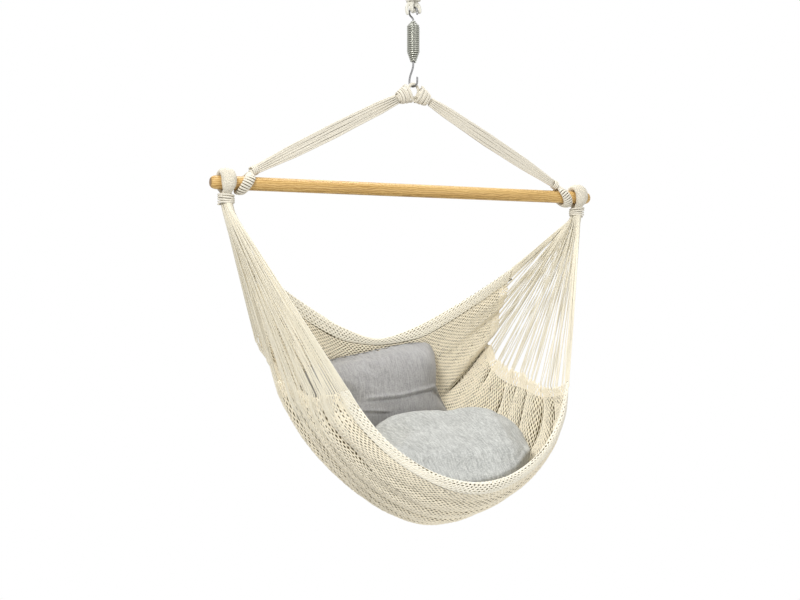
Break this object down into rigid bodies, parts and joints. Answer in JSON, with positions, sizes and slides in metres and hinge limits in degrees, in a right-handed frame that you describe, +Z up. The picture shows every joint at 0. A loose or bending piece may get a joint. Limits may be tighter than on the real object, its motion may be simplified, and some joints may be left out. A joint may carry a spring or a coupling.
{
  "type": "hammock chair",
  "caption": "Woven cord hammock seat with a seat and a back cushion, hung from a wooden spreader bar, cord bundles, hooks and an extension spring under a ceiling plate.",
  "frame": {"origin": "middle of the ceiling plate's top face, where it meets the ceiling, straight above the middle of the spreader bar", "axes": "+Z up, +X along the spreader bar towards the sitter's left hand, -Y towards the front of the seat"},
  "size_m": [1.1, 0.6198, 1.4464],
  "materials": {
    "galvanised_steel": "satin",
    "cotton_cord": "matte",
    "light_oak": "satin",
    "light_grey_cloth": "matte",
    "mid_grey_cloth": "matte"
  },
  "bodies": {
    "ceiling_fitting": {"ceiling_plate": "galvanised_steel", "ceiling_screw_1": "galvanised_steel", "ceiling_screw_2": "galvanised_steel", "ceiling_screw_3": "galvanised_steel", "ceiling_screw_4": "galvanised_steel"},
    "rope": {"hanging_rope": "cotton_cord", "rope_hitch": "cotton_cord"},
    "upper_hook_body": {"upper_hook": "galvanised_steel"},
    "spring": {"extension_spring": "galvanised_steel"},
    "lower_hook_body": {"lower_hook": "galvanised_steel"},
    "bar_and_cords": {"cord_eye": "cotton_cord", "apex_whipping_left": "cotton_cord", "apex_whipping_right": "cotton_cord", "suspension_cords_left": "cotton_cord", "suspension_cords_right": "cotton_cord", "collar_whipping_left": "cotton_cord", "collar_whipping_right": "cotton_cord", "bar_sleeve_left": "cotton_cord", "bar_sleeve_right": "cotton_cord", "spreader_bar": "light_oak"},
    "seat": {"hammock_loop_left": "cotton_cord", "hammock_loop_right": "cotton_cord", "neck_whipping_left": "cotton_cord", "neck_whipping_right": "cotton_cord", "arm_strings_left": "cotton_cord", "arm_strings_right": "cotton_cord", "seat_net": "cotton_cord", "front_band": "cotton_cord", "back_band": "cotton_cord"},
    "seat_cushion_body": {"seat_cushion": "light_grey_cloth"},
    "back_cushion_body": {"back_cushion": "mid_grey_cloth"}
  },
  "joints": [
    {"name": "rope_swing", "type": "hinge", "parent": "ceiling_fitting", "child": "rope", "pos_m": [0, 0, -0.044], "axis": [0.5, -0.866, 0], "range_deg": [-25, 25]},
    {"name": "hook_swing", "type": "hinge", "parent": "rope", "child": "upper_hook_body", "pos_m": [0, 0, -0.1215], "axis": [0.866, 0.5, 0], "range_deg": [-20, 20]},
    {"name": "spring_swivel", "type": "hinge", "parent": "upper_hook_body", "child": "spring", "pos_m": [0, 0, -0.145], "axis": [0, 0, 1], "continuous": true},
    {"name": "spring_stretch", "type": "slide", "parent": "spring", "child": "lower_hook_body", "axis": [0, 0, -1], "range_m": [0, 0.05], "stiffness_N_per_m": 20000, "springref_m": -0.005, "deforming": ["extension_spring"]},
    {"name": "chair_tilt", "type": "hinge", "parent": "lower_hook_body", "child": "bar_and_cords", "pos_m": [0, 0, -0.311], "axis": [1, 0, 0], "range_deg": [-20, 20]},
    {"name": "seat_swing", "type": "hinge", "parent": "bar_and_cords", "child": "seat", "pos_m": [0, 0, -0.592], "axis": [1, 0, 0], "range_deg": [-15, 15]},
    {"name": "seat_cushion_lift", "type": "slide", "parent": "seat", "child": "seat_cushion_body", "axis": [0, -0.35, 0.9367], "range_m": [0, 0.3]},
    {"name": "back_cushion_lift", "type": "slide", "parent": "seat", "child": "back_cushion_body", "axis": [0, -0.28, 0.96], "range_m": [0, 0.3]}
  ]
}
